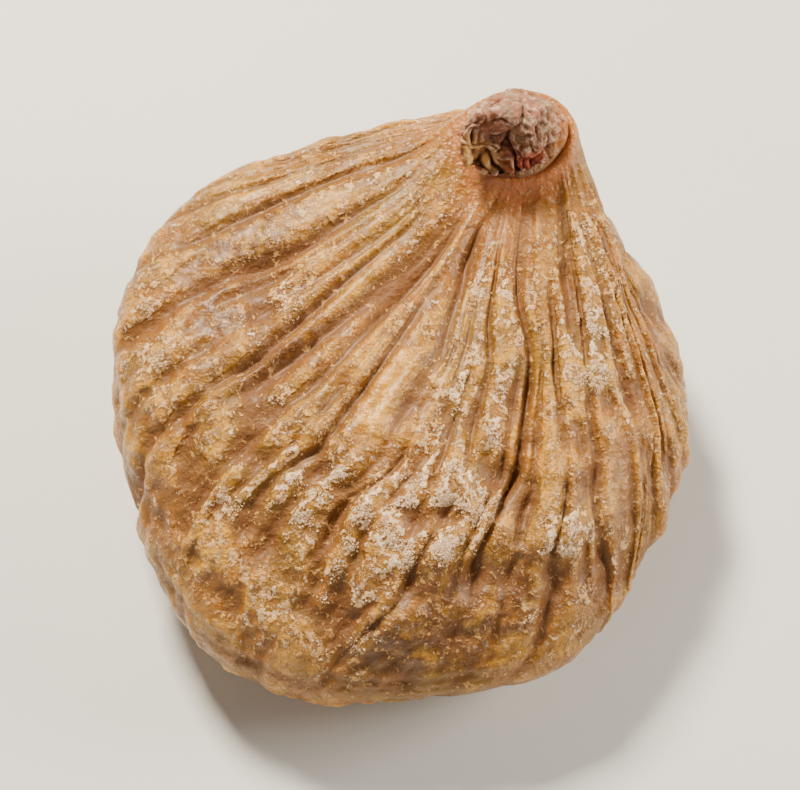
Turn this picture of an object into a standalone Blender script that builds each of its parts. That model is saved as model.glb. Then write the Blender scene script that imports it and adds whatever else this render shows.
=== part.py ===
"""Dried fig: a pressed, pleated fruit and the woody stub of its stem. Metres, +Z up.

Ring stations below are in millimetres. The fruit lies on a flat spot of its belly, the stem
at the back and right, and its cut end looks to the front (-Y).
"""
import random

import bmesh
import bpy
import numpy as np
from mathutils import Vector, noise

MM = 0.001
NAME = "dried_fig"

# Fruit skin, from the floor of the stem socket to the bottom of the eye
# level, centre x, y, z, half width, half depth, lean to the front, lean to the left
FRUIT_RINGS = [
    (0.00, 8.75, 18.5, 20.95, 0.0, 0.0, 20, 6),
    (0.03, 8.75, 18.5, 20.95, 3.6, 2.85, 20, 6),
    (0.05, 8.7, 18.3, 21.55, 3.9, 3.15, 20, 6),
    (0.07, 8.7, 18.3, 21.75, 4.3, 3.55, 20, 6),
    (0.09, 8.65, 18.25, 21.5, 4.7, 3.95, 20, 5),
    (0.12, 8.4, 17.7, 20.9, 5.3, 4.6, 16, 3),
    (0.17, 7.5, 15.7, 19.8, 7.0, 6.6, 5, 0),
    (0.25, 4.0, 11.3, 18.2, 12.4, 12.1, 1, -2),
    (0.34, 0.5, 6.2, 16.2, 18.0, 17.5, 1, -2),
    (0.42, -0.4, 2.6, 13.2, 21.2, 21.4, 3, -1),
    (0.50, -0.1, 1.2, 8.8, 22.3, 23.6, 2, 0),
    (0.58, -0.2, 0.7, 4.7, 20.8, 22.2, 1, 0),
    (0.66, -0.6, 0.2, 1.6, 17.0, 18.0, 0, 0),
    (0.74, -1.4, -1.2, -0.35, 12.0, 12.8, 0, 0),
    (0.83, -3.0, -4.6, -0.35, 7.4, 7.6, -5, 0),
    (0.92, -4.2, -7.2, 0.8, 3.4, 3.2, -12, 0),
    (1.00, -4.6, -8.2, 2.6, 0.0, 0.0, -18, 0),
]

# Broad swells and flats that take the outline off the round
# turn, spread, level, spread, push outwards
SWELLS = [
    (152, 22, 0.42, 0.10, 1.4),
    (118, 24, 0.36, 0.12, -0.9),
    (24, 24, 0.34, 0.11, -1.6),
    (232, 26, 0.56, 0.12, 1.2),
    (318, 24, 0.58, 0.10, 0.5),
]

# Main creases in order round the fruit: pleats up to the next one, then level, turn, depth
CREASES = [
    (2, [(0.10, 148, 0.2), (0.20, 157, 0.5), (0.25, 160, 0.6), (0.32, 163, 0.5), (0.45, 160, 0.4),
         (0.62, 158, 0.2)]),
    (2, [(0.10, 172, 0.2), (0.22, 184, 0.5), (0.25, 186, 0.7), (0.30, 181, 0.7), (0.36, 179, 0.6),
         (0.45, 174, 0.4), (0.62, 172, 0.3)]),
    (1, [(0.10, 190, 0.1), (0.20, 200, 0.4), (0.26, 201, 0.5), (0.33, 197, 0.5), (0.45, 191, 0.4),
         (0.62, 189, 0.2)]),
    (1, [(0.10, 203, 0.1), (0.20, 207, 0.5), (0.25, 209.5, 0.9), (0.29, 210.5, 1.0),
         (0.32, 208, 0.8), (0.40, 202, 0.6), (0.62, 200, 0.2)]),
    (1, [(0.10, 227, 0.4), (0.15, 225, 0.7), (0.185, 221.7, 0.7), (0.264, 220, 0.8),
         (0.29, 217.5, 1.0), (0.32, 214, 0.9), (0.40, 209, 0.6), (0.62, 208, 0.3)]),
    (2, [(0.10, 236, 0.2), (0.20, 233, 0.6), (0.25, 232, 0.7), (0.28, 230, 0.8), (0.31, 226, 0.7),
         (0.38, 221, 0.5), (0.62, 219, 0.2)]),
    (2, [(0.10, 243, 0.1), (0.19, 240.5, 0.4), (0.245, 243, 0.6), (0.29, 243, 1.0), (0.31, 242.5, 1.1),
         (0.32, 240, 1.0), (0.35, 235, 0.9), (0.42, 231, 0.5), (0.62, 228, 0.3)]),
    (2, [(0.10, 252, 0.3), (0.13, 250, 0.7), (0.15, 247, 1.1), (0.175, 248, 1.2), (0.19, 252, 1.1),
         (0.207, 256, 0.9), (0.235, 261, 0.6), (0.25, 259.5, 0.6), (0.275, 257.5, 0.9),
         (0.30, 258, 1.0), (0.315, 256, 1.0), (0.33, 250.5, 1.0), (0.36, 246, 0.7),
         (0.44, 240, 0.5), (0.62, 236, 0.2)]),
    (2, [(0.10, 259, 0.1), (0.17, 261, 0.4), (0.24, 268, 0.5), (0.30, 268.5, 0.5), (0.33, 264.5, 0.6),
         (0.36, 261, 0.7), (0.40, 257, 0.6), (0.46, 251, 0.4), (0.62, 246, 0.2)]),
    (3, [(0.10, 264, 0.1), (0.165, 266, 0.5), (0.185, 269, 0.7), (0.215, 274, 0.7), (0.25, 281, 0.8),
         (0.31, 280, 0.7), (0.34, 277, 0.7), (0.395, 270, 0.9), (0.417, 264.5, 1.0),
         (0.444, 260, 0.8), (0.48, 256, 0.4), (0.62, 252, 0.2)]),
    (1, [(0.10, 275, 0.1), (0.172, 279, 0.5), (0.194, 283, 0.7), (0.207, 287, 0.9), (0.216, 290.5, 1.2),
         (0.229, 294.5, 1.6), (0.247, 297, 1.9), (0.30, 297.2, 2.0), (0.322, 297, 1.9),
         (0.338, 292.5, 1.8), (0.355, 290, 1.8), (0.378, 286.5, 1.8), (0.398, 286.3, 1.4),
         (0.416, 284.6, 1.3), (0.432, 281, 1.1), (0.447, 276, 0.9), (0.474, 270, 0.5), (0.62, 263, 0.2)]),
    (1, [(0.10, 284, 0.0), (0.20, 292, 0.1), (0.25, 301, 0.3), (0.30, 302.6, 0.3), (0.336, 301.5, 0.5),
         (0.355, 298, 0.8), (0.38, 294.5, 1.0), (0.40, 292.5, 1.0), (0.43, 289, 0.8),
         (0.46, 284, 0.6), (0.50, 279, 0.4), (0.62, 274, 0.2)]),
    (1, [(0.10, 292, 0.1), (0.15, 296, 0.4), (0.20, 301.5, 0.6), (0.23, 305, 1.0), (0.27, 305.5, 1.1),
         (0.29, 307.5, 1.0), (0.335, 309.5, 1.0), (0.35, 309, 1.0), (0.368, 307, 1.1),
         (0.40, 301.5, 1.5), (0.417, 302, 1.5), (0.437, 300, 1.4), (0.455, 298.5, 1.0),
         (0.50, 293, 0.5), (0.62, 289, 0.2)]),
    (1, [(0.10, 309, 0.6), (0.135, 310.5, 0.8), (0.16, 310, 0.6), (0.20, 311.5, 0.9), (0.22, 313, 1.0),
         (0.236, 313, 0.8), (0.26, 313.5, 0.3), (0.32, 314.5, 0.3), (0.39, 311.5, 0.3),
         (0.50, 305, 0.3), (0.62, 301, 0.1)]),
    (3, [(0.10, 315, 0.1), (0.15, 317, 0.3), (0.20, 319.5, 0.6), (0.23, 322, 0.9), (0.255, 322, 1.0),
         (0.285, 320.3, 1.1), (0.35, 319.7, 1.3), (0.372, 318, 1.4), (0.40, 317, 1.3),
         (0.45, 317, 0.9), (0.49, 313, 0.6), (0.62, 309, 0.3)]),
    (3, [(0.10, 323, 0.1), (0.18, 328, 0.5), (0.245, 333, 0.9), (0.315, 335.5, 1.1), (0.36, 336, 1.1),
         (0.41, 333, 1.0), (0.44, 329, 1.0), (0.484, 323, 0.9), (0.62, 318, 0.3)]),
    (3, [(0.10, 332, 0.1), (0.17, 338, 0.6), (0.22, 346, 1.0), (0.27, 350, 1.1), (0.34, 350, 1.1),
         (0.40, 346, 1.0), (0.46, 340, 0.9), (0.62, 333, 0.3)]),
    (3, [(0.10, 342, 0.2), (0.175, 354, 0.7), (0.22, 362, 0.9), (0.245, 366, 1.0), (0.30, 366, 1.1),
         (0.36, 363, 1.1), (0.42, 359, 1.0), (0.50, 352, 0.7), (0.62, 347, 0.3)]),
    (3, [(0.10, 360, 0.1), (0.20, 378, 0.6), (0.30, 382, 0.8), (0.40, 377, 0.7), (0.50, 370, 0.5),
         (0.62, 365, 0.3)]),
    (3, [(0.10, 388, 0.2), (0.20, 399, 0.6), (0.30, 403, 0.8), (0.45, 396, 0.6), (0.62, 390, 0.3)]),
    (3, [(0.10, 414, 0.1), (0.20, 420, 0.6), (0.30, 424, 0.7), (0.45, 419, 0.5), (0.62, 414, 0.3)]),
    (3, [(0.10, 437, 0.2), (0.20, 441, 0.5), (0.32, 446, 0.8), (0.45, 442, 0.6), (0.62, 438, 0.2)]),
    (3, [(0.10, 459, 0.1), (0.20, 462, 0.5), (0.30, 466, 0.6), (0.45, 465, 0.5), (0.62, 462, 0.3)]),
    (5, [(0.10, 481, 0.2), (0.20, 484, 0.5), (0.30, 489, 0.7), (0.45, 489, 0.6), (0.62, 486, 0.3)]),
]

# Tucks and hollows: turn, spread, level, spread, depth
HOLLOWS = [
    (247, 5.0, 0.170, 0.022, 0.7),
    (285, 4.0, 0.384, 0.012, 1.0),
    (272, 3.5, 0.386, 0.010, 0.8),
    (243, 4.0, 0.305, 0.018, 0.5),
    (304, 4.5, 0.410, 0.030, 0.5),
    (292, 4.0, 0.345, 0.014, 0.6),
    (364, 9.0, 0.410, 0.045, 0.6),
    (186, 5.0, 0.240, 0.020, 0.4),
]

GROOVE_HALF_WIDTH = 1.4
FILL_DEPTH = (0.3, 0.7)
FILL_FADE = [(0.50, 1.0), (0.62, 0.4), (0.80, 0.3), (1.00, 0.3)]
FILL_WANDER = 0.16
RIDGE_OFFSET = 0.22
BROAD_LUMP = (0.085, 0.55)
KNOB = (0.31, 0.5)
PLEAT_FADE = [(0.07, 0.0), (0.10, 0.5), (0.16, 1.15), (0.22, 1.3), (0.42, 1.2), (0.48, 0.9),
              (0.53, 0.75), (0.60, 1.2), (0.68, 1.5), (0.74, 0.8), (0.84, 0.8), (0.92, 1.2),
              (1.00, 0.0)]
BROAD_FADE = [(0.08, 0.0), (0.22, 1.0), (0.60, 1.0), (0.72, 0.2), (1.00, 0.1)]
KNOB_FADE = [(0.12, 0.0), (0.24, 0.35), (0.33, 1.0), (0.44, 1.0), (0.54, 0.35), (0.90, 0.2),
             (1.00, 0.0)]

# Mesh of the fruit
COLUMNS_PER_PLEAT = 3
ROWS = 37
ROW_LEVELS = [(0, 0.0), (1, 0.03), (2, 0.05), (3, 0.07), (4, 0.09), (5, 0.12), (28, 0.62),
              (33, 0.83), (37, 1.0)]

# Stem stub, from the middle of its cut end to the base in the socket, laid out as the fruit
STEM_RINGS = [
    (0.00, 7.2, 16.3, 23.8, 0.0, 0.0, 72, -6),
    (0.10, 7.15, 16.1, 23.85, 1.4, 1.3, 72, -6),
    (0.20, 7.1, 15.8, 23.95, 2.75, 2.6, 72, -6),
    (0.30, 7.3, 16.1, 24.0, 3.25, 3.1, 68, -4),
    (0.43, 7.9, 17.0, 23.7, 3.5, 3.25, 54, 0),
    (0.58, 8.5, 17.9, 22.9, 3.6, 3.15, 38, 4),
    (0.74, 8.7, 18.25, 21.8, 3.5, 2.75, 22, 6),
    (0.86, 8.75, 18.4, 21.27, 3.2, 2.45, 20, 6),
    (1.00, 8.75, 18.4, 21.27, 0.0, 0.0, 20, 6),
]
STEM_COLUMNS = 44
STEM_ROWS = 18
STEM_CRINKLE = (0.5, 0.3)
STEM_FLUTE = 0.16
STEM_FADE = [(0.00, 0.6), (0.10, 1.0), (0.40, 0.9), (0.60, 0.5), (0.72, 0.0)]


def curve(at, stations, values):
    """Smooth curve through stations that never swings past them."""
    xs = np.asarray(stations, float)
    ys = np.asarray(values, float)
    step = np.diff(xs)
    rise = np.diff(ys) / step
    slope = np.zeros_like(ys)
    slope[0] = rise[0]
    slope[-1] = rise[-1]
    for i in range(1, len(xs) - 1):
        if rise[i - 1] * rise[i] > 0:
            slope[i] = 2 * rise[i - 1] * rise[i] / (rise[i - 1] + rise[i])
    at = np.clip(at, xs[0], xs[-1])
    i = np.clip(np.searchsorted(xs, at, side="right") - 1, 0, len(step) - 1)
    t = (at - xs[i]) / step[i]
    return (
        (2 * t**3 - 3 * t**2 + 1) * ys[i]
        + (t**3 - 2 * t**2 + t) * step[i] * slope[i]
        + (-2 * t**3 + 3 * t**2) * ys[i + 1]
        + (t**3 - t**2) * step[i] * slope[i + 1]
    )


def loft(rings, level, turn, swells=()):
    """Points of the smooth body at a level between its ends and a turn in degrees."""
    levels = [ring[0] for ring in rings]
    x, y, z, half_width, half_depth, front, left = (
        curve(level, levels, [ring[k] for ring in rings]) for k in range(1, 8)
    )
    cosine = np.cos(np.radians(turn))
    sine = np.sin(np.radians(turn))
    push = np.zeros_like(level * turn)
    for at, spread, height, reach, amount in swells:
        away = (turn - at + 180) % 360 - 180
        push = push + amount * np.exp(-((away / spread) ** 2) - ((level - height) / reach) ** 2)
    front = np.radians(front)
    left = np.radians(left)
    across = half_width * cosine
    deep = half_depth * sine
    return np.stack([
        x + across * np.cos(left) + push * cosine,
        y + deep * np.cos(front) + push * sine,
        z + deep * np.sin(front) + across * np.sin(left),
    ], axis=-1)


def outward(points):
    """Unit normals of a closed grid of points, row by row from one end to the other."""
    along = np.gradient(points, axis=0)
    around = np.roll(points, -1, axis=1) - np.roll(points, 1, axis=1)
    normal = np.cross(along, around)
    length = np.linalg.norm(normal, axis=-1, keepdims=True)
    return normal / np.maximum(length, 1e-9)


def fade(level, table):
    return np.interp(level, [row[0] for row in table], [row[1] for row in table])


def creases(levels):
    """Turn and depth of every crease at each level, the main ones and those between."""
    rng = random.Random(11)
    turns = []
    depths = []
    total = len(CREASES)
    for k in range(total):
        count, line = CREASES[k]
        following = CREASES[(k + 1) % total][1]
        ahead = 360 if k == total - 1 else 0
        stations = [row[0] for row in line]
        turn = curve(levels, stations, [row[1] for row in line])
        depth = np.interp(levels, stations, [row[2] for row in line])
        stations = [row[0] for row in following]
        gap = curve(levels, stations, [row[1] for row in following]) + ahead - turn
        turns.append(turn)
        depths.append(depth)
        for j in range(1, count):
            waves = rng.uniform(9, 17)
            phase = rng.uniform(0, 2 * np.pi)
            share = j / count + FILL_WANDER / count * np.sin(levels * waves * 2 + phase)
            start = rng.uniform(0.10, 0.27)
            strength = rng.uniform(*FILL_DEPTH)
            turns.append(turn + gap * share)
            depths.append(strength * np.clip((levels - start) / 0.05, 0, 1) * fade(levels, FILL_FADE))
    return np.stack(turns, axis=1), np.stack(depths, axis=1)


def lumps(points, frequency):
    """Soft noise through space at each point, in the range of about -1 to 1."""
    flat = points.reshape(-1, 3) * frequency
    values = [noise.noise(Vector(point)) for point in flat]
    return np.array(values).reshape(points.shape[:-1]) * 1.6


def fruit_grid(levels, columns_per_pleat):
    """Points of the pleated skin: rows by level, columns gathered along the creases."""
    turns, depths = creases(levels)
    pleats = turns.shape[1]
    turns = np.concatenate([turns, turns[:, :1] + 360], axis=1)
    depths = np.concatenate([depths, depths[:, :1]], axis=1)
    place = np.arange(pleats * columns_per_pleat) / columns_per_pleat
    pleat = place.astype(int)
    share = place - pleat
    left = turns[:, pleat]
    right = turns[:, pleat + 1]
    turn = left + (right - left) * share
    level = levels[:, None] + 0 * turn
    body = loft(FRUIT_RINGS, level, turn, SWELLS)
    beside = loft(FRUIT_RINGS, level, turn + 1, SWELLS)
    arc = np.linalg.norm(beside - body, axis=-1)
    width = arc * (right - left)
    near_left = np.clip(1 - share * width / GROOVE_HALF_WIDTH, 0, 1) ** 2
    near_right = np.clip(1 - (1 - share) * width / GROOVE_HALF_WIDTH, 0, 1) ** 2
    strength = fade(level, PLEAT_FADE) * np.clip(width / 1.6, 0.25, 1)
    groove = np.maximum(depths[:, pleat] * near_left, depths[:, pleat + 1] * near_right) * strength

    rng = random.Random(5)
    heights = np.array([rng.uniform(-1, 1) for _ in range(pleats)]) * RIDGE_OFFSET
    blend = np.clip(share / 0.35, 0, 1)
    blend = blend * blend * (3 - 2 * blend)
    ridge = (heights[pleat - 1] * (1 - blend) + heights[pleat] * blend) * strength

    hollow = np.zeros_like(turn)
    for at, spread, height, reach, amount in HOLLOWS:
        away = (turn - at + 180) % 360 - 180
        hollow += amount * np.exp(-((away / spread) ** 2) - ((level - height) / reach) ** 2)
    broad = BROAD_LUMP[1] * lumps(body, BROAD_LUMP[0]) * fade(level, BROAD_FADE)
    knobs = KNOB[1] * lumps(body, KNOB[0]) * fade(level, KNOB_FADE)
    relief = ridge + broad + knobs - groove - hollow
    points = body + outward(body) * relief[..., None]
    points[..., 2] = np.maximum(points[..., 2], 0)
    return points


def stem_grid(levels, columns):
    """Points of the stub: flutes along the bark and a crinkled, broken end."""
    turn = np.arange(columns) * 360 / columns + 0 * levels[:, None]
    level = levels[:, None] + 0 * turn
    body = loft(STEM_RINGS, level, turn)
    flutes = np.sin(np.radians(turn * 9 + 40)) + 0.6 * np.sin(np.radians(turn * 14 + 200))
    bark = STEM_FLUTE * flutes * np.clip((level - 0.20) / 0.2, 0, 1)
    crinkle = STEM_CRINKLE[1] * lumps(body, STEM_CRINKLE[0])
    relief = (bark + crinkle) * fade(level, STEM_FADE)
    return body + outward(body) * relief[..., None]


def wrapped_sphere(name, grid, drop, material):
    """A sphere whose rings are carried onto a grid of points, its two poles onto the ends."""
    rows, columns = grid.shape[:2]
    mesh = bpy.data.meshes.new(name)
    shape = bmesh.new()
    bmesh.ops.create_uvsphere(shape, u_segments=columns, v_segments=rows - 1, radius=1)
    for vert in shape.verts:
        row = int(round(np.arccos(np.clip(vert.co.z, -1, 1)) / np.pi * (rows - 1)))
        column = int(round(np.arctan2(-vert.co.x, vert.co.y) / (2 * np.pi) * columns)) % columns
        vert.co = Vector(grid[row, column] - drop) * MM
    bmesh.ops.recalc_face_normals(shape, faces=shape.faces)
    for face in shape.faces:
        face.smooth = True
    shape.to_mesh(mesh)
    shape.free()
    mesh.materials.append(material)
    return bpy.data.objects.new(name, mesh)


def surface(name, colour, roughness):
    material = bpy.data.materials.new(name)
    material.use_nodes = True
    shader = material.node_tree.nodes["Principled BSDF"]
    shader.inputs["Base Color"].default_value = (*colour, 1)
    shader.inputs["Roughness"].default_value = roughness
    shader.inputs["Metallic"].default_value = 0.0
    return material


def clear_scene():
    for item in list(bpy.data.objects):
        bpy.data.objects.remove(item, do_unlink=True)
    for group in list(bpy.data.collections):
        bpy.data.collections.remove(group)


def build():
    clear_scene()
    levels = fade(np.arange(ROWS + 1), ROW_LEVELS)
    skin = fruit_grid(levels, COLUMNS_PER_PLEAT)
    stub = stem_grid(np.linspace(0, 1, STEM_ROWS + 1), STEM_COLUMNS)
    everything = np.concatenate([skin.reshape(-1, 3), stub.reshape(-1, 3)])
    low = everything.min(axis=0)
    high = everything.max(axis=0)
    drop = np.array([(low[0] + high[0]) / 2, (low[1] + high[1]) / 2, low[2]])
    fruit = wrapped_sphere("fruit", skin, drop, surface("fig_skin", (0.55, 0.33, 0.13), 0.5))
    stem = wrapped_sphere("stem", stub, drop, surface("stem_wood", (0.16, 0.07, 0.035), 0.75))
    group = bpy.data.collections.new(NAME)
    bpy.context.scene.collection.children.link(group)
    group.objects.link(fruit)
    group.objects.link(stem)


build()
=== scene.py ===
"""Looks of the dried fig: its pleated skin, woody stem stub and sugar bloom, on a pale studio floor."""
import math
import random

import bpy
import numpy as np
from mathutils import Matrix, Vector, noise


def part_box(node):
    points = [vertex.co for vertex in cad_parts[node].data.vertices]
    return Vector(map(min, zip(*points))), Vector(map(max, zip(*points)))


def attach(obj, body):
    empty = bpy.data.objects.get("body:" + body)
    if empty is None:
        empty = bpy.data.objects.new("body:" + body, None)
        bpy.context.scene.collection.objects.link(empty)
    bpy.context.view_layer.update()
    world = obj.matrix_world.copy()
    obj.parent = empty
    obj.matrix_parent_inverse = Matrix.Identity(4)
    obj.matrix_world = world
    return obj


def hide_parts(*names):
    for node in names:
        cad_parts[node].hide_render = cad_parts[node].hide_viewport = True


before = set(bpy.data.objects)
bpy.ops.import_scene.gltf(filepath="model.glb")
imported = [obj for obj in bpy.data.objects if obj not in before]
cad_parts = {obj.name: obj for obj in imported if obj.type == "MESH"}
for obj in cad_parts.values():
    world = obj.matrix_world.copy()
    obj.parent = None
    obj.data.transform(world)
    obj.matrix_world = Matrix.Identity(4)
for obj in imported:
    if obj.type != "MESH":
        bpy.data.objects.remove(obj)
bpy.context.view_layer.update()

# The fruit: one fig, skin and flesh grown together, then dried and pressed flat by hand.
# The skin shrank into pleats that gather at the neck, cross the shoulder and end at the eye
# underneath. Sizes are in millimetres. It is all one piece, so nothing holds it together.

# A place on the fruit is a turn in degrees, 0 at the right, 90 behind and 270 in front, and a level
# from 0 in the stem's socket to 1 in the eye.
# Rings: level, centre x, y, z, half width, half depth, lean to the front, lean to the left
MM = 0.001
FRUIT_RINGS = [
    (0.00, 8.75, 18.5, 20.95, 0.0, 0.0, 20, 6),
    (0.03, 8.75, 18.5, 20.95, 3.6, 2.85, 20, 6),
    (0.05, 8.7, 18.3, 21.55, 3.9, 3.15, 20, 6),
    (0.07, 8.7, 18.3, 21.75, 4.3, 3.55, 20, 6),
    (0.09, 8.65, 18.25, 21.5, 4.7, 3.95, 20, 5),
    (0.12, 8.4, 17.7, 20.9, 5.3, 4.6, 16, 3),
    (0.17, 7.5, 15.7, 19.8, 7.0, 6.6, 5, 0),
    (0.25, 4.0, 11.3, 18.2, 12.4, 12.1, 1, -2),
    (0.34, 0.5, 6.2, 16.2, 18.0, 17.5, 1, -2),
    (0.42, -0.4, 2.6, 13.2, 21.2, 21.4, 3, -1),
    (0.50, -0.1, 1.2, 8.8, 22.3, 23.6, 2, 0),
    (0.58, -0.2, 0.7, 4.7, 20.8, 22.2, 1, 0),
    (0.66, -0.6, 0.2, 1.6, 17.0, 18.0, 0, 0),
    (0.74, -1.4, -1.2, -0.35, 12.0, 12.8, 0, 0),
    (0.83, -3.0, -4.6, -0.35, 7.4, 7.6, -5, 0),
    (0.92, -4.2, -7.2, 0.8, 3.4, 3.2, -12, 0),
    (1.00, -4.6, -8.2, 2.6, 0.0, 0.0, -18, 0),
]

# Broad swells and flats: turn, spread, level, spread, push outwards
SWELLS = [
    (152, 22, 0.42, 0.10, 1.4),
    (118, 24, 0.36, 0.12, -0.9),
    (24, 24, 0.34, 0.11, -1.6),
    (232, 26, 0.56, 0.12, 1.2),
    (318, 24, 0.58, 0.10, 0.5),
]

# Main creases in order round the fruit: pleats up to the next one, then level, turn, depth
CREASES = [
    (2, [(0.10, 148, 0.2), (0.20, 157, 0.5), (0.25, 160, 0.6), (0.32, 163, 0.5), (0.45, 160, 0.4),
         (0.62, 158, 0.2)]),
    (2, [(0.10, 172, 0.2), (0.22, 184, 0.5), (0.25, 186, 0.7), (0.30, 181, 0.7), (0.36, 179, 0.6),
         (0.45, 174, 0.4), (0.62, 172, 0.3)]),
    (1, [(0.10, 190, 0.1), (0.20, 200, 0.4), (0.26, 201, 0.5), (0.33, 197, 0.5), (0.45, 191, 0.4),
         (0.62, 189, 0.2)]),
    (1, [(0.10, 203, 0.1), (0.20, 207, 0.5), (0.25, 209.5, 0.9), (0.29, 210.5, 1.0),
         (0.32, 208, 0.8), (0.40, 202, 0.6), (0.62, 200, 0.2)]),
    (1, [(0.10, 227, 0.4), (0.15, 225, 0.7), (0.185, 221.7, 0.7), (0.264, 220, 0.8),
         (0.29, 217.5, 1.0), (0.32, 214, 0.9), (0.40, 209, 0.6), (0.62, 208, 0.3)]),
    (2, [(0.10, 236, 0.2), (0.20, 233, 0.6), (0.25, 232, 0.7), (0.28, 230, 0.8), (0.31, 226, 0.7),
         (0.38, 221, 0.5), (0.62, 219, 0.2)]),
    (2, [(0.10, 243, 0.1), (0.19, 240.5, 0.4), (0.245, 243, 0.6), (0.29, 243, 1.0), (0.31, 242.5, 1.1),
         (0.32, 240, 1.0), (0.35, 235, 0.9), (0.42, 231, 0.5), (0.62, 228, 0.3)]),
    (2, [(0.10, 252, 0.3), (0.13, 250, 0.7), (0.15, 247, 1.1), (0.175, 248, 1.2), (0.19, 252, 1.1),
         (0.207, 256, 0.9), (0.235, 261, 0.6), (0.25, 259.5, 0.6), (0.275, 257.5, 0.9),
         (0.30, 258, 1.0), (0.315, 256, 1.0), (0.33, 250.5, 1.0), (0.36, 246, 0.7),
         (0.44, 240, 0.5), (0.62, 236, 0.2)]),
    (2, [(0.10, 259, 0.1), (0.17, 261, 0.4), (0.24, 268, 0.5), (0.30, 268.5, 0.5), (0.33, 264.5, 0.6),
         (0.36, 261, 0.7), (0.40, 257, 0.6), (0.46, 251, 0.4), (0.62, 246, 0.2)]),
    (3, [(0.10, 264, 0.1), (0.165, 266, 0.5), (0.185, 269, 0.7), (0.215, 274, 0.7), (0.25, 281, 0.8),
         (0.31, 280, 0.7), (0.34, 277, 0.7), (0.395, 270, 0.9), (0.417, 264.5, 1.0),
         (0.444, 260, 0.8), (0.48, 256, 0.4), (0.62, 252, 0.2)]),
    (1, [(0.10, 275, 0.1), (0.172, 279, 0.5), (0.194, 283, 0.7), (0.207, 287, 0.9), (0.216, 290.5, 1.2),
         (0.229, 294.5, 1.6), (0.247, 297, 1.9), (0.30, 297.2, 2.0), (0.322, 297, 1.9),
         (0.338, 292.5, 1.8), (0.355, 290, 1.8), (0.378, 286.5, 1.8), (0.398, 286.3, 1.4),
         (0.416, 284.6, 1.3), (0.432, 281, 1.1), (0.447, 276, 0.9), (0.474, 270, 0.5), (0.62, 263, 0.2)]),
    (1, [(0.10, 284, 0.0), (0.20, 292, 0.1), (0.25, 301, 0.3), (0.30, 302.6, 0.3), (0.336, 301.5, 0.5),
         (0.355, 298, 0.8), (0.38, 294.5, 1.0), (0.40, 292.5, 1.0), (0.43, 289, 0.8),
         (0.46, 284, 0.6), (0.50, 279, 0.4), (0.62, 274, 0.2)]),
    (1, [(0.10, 292, 0.1), (0.15, 296, 0.4), (0.20, 301.5, 0.6), (0.23, 305, 1.0), (0.27, 305.5, 1.1),
         (0.29, 307.5, 1.0), (0.335, 309.5, 1.0), (0.35, 309, 1.0), (0.368, 307, 1.1),
         (0.40, 301.5, 1.5), (0.417, 302, 1.5), (0.437, 300, 1.4), (0.455, 298.5, 1.0),
         (0.50, 293, 0.5), (0.62, 289, 0.2)]),
    (1, [(0.10, 309, 0.6), (0.135, 310.5, 0.8), (0.16, 310, 0.6), (0.20, 311.5, 0.9), (0.22, 313, 1.0),
         (0.236, 313, 0.8), (0.26, 313.5, 0.3), (0.32, 314.5, 0.3), (0.39, 311.5, 0.3),
         (0.50, 305, 0.3), (0.62, 301, 0.1)]),
    (3, [(0.10, 315, 0.1), (0.15, 317, 0.3), (0.20, 319.5, 0.6), (0.23, 322, 0.9), (0.255, 322, 1.0),
         (0.285, 320.3, 1.1), (0.35, 319.7, 1.3), (0.372, 318, 1.4), (0.40, 317, 1.3),
         (0.45, 317, 0.9), (0.49, 313, 0.6), (0.62, 309, 0.3)]),
    (3, [(0.10, 323, 0.1), (0.18, 328, 0.5), (0.245, 333, 0.9), (0.315, 335.5, 1.1), (0.36, 336, 1.1),
         (0.41, 333, 1.0), (0.44, 329, 1.0), (0.484, 323, 0.9), (0.62, 318, 0.3)]),
    (3, [(0.10, 332, 0.1), (0.17, 338, 0.6), (0.22, 346, 1.0), (0.27, 350, 1.1), (0.34, 350, 1.1),
         (0.40, 346, 1.0), (0.46, 340, 0.9), (0.62, 333, 0.3)]),
    (3, [(0.10, 342, 0.2), (0.175, 354, 0.7), (0.22, 362, 0.9), (0.245, 366, 1.0), (0.30, 366, 1.1),
         (0.36, 363, 1.1), (0.42, 359, 1.0), (0.50, 352, 0.7), (0.62, 347, 0.3)]),
    (3, [(0.10, 360, 0.1), (0.20, 378, 0.6), (0.30, 382, 0.8), (0.40, 377, 0.7), (0.50, 370, 0.5),
         (0.62, 365, 0.3)]),
    (3, [(0.10, 388, 0.2), (0.20, 399, 0.6), (0.30, 403, 0.8), (0.45, 396, 0.6), (0.62, 390, 0.3)]),
    (3, [(0.10, 414, 0.1), (0.20, 420, 0.6), (0.30, 424, 0.7), (0.45, 419, 0.5), (0.62, 414, 0.3)]),
    (3, [(0.10, 437, 0.2), (0.20, 441, 0.5), (0.32, 446, 0.8), (0.45, 442, 0.6), (0.62, 438, 0.2)]),
    (3, [(0.10, 459, 0.1), (0.20, 462, 0.5), (0.30, 466, 0.6), (0.45, 465, 0.5), (0.62, 462, 0.3)]),
    (5, [(0.10, 481, 0.2), (0.20, 484, 0.5), (0.30, 489, 0.7), (0.45, 489, 0.6), (0.62, 486, 0.3)]),
]

# Tucks and hollows: turn, spread, level, spread, depth
HOLLOWS = [
    (247, 5.0, 0.170, 0.022, 0.7),
    (285, 4.0, 0.384, 0.012, 1.0),
    (272, 3.5, 0.386, 0.010, 0.8),
    (243, 4.0, 0.305, 0.018, 0.5),
    (304, 4.5, 0.410, 0.030, 0.5),
    (292, 4.0, 0.345, 0.014, 0.6),
    (364, 9.0, 0.410, 0.045, 0.6),
    (186, 5.0, 0.240, 0.020, 0.4),
]

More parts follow.
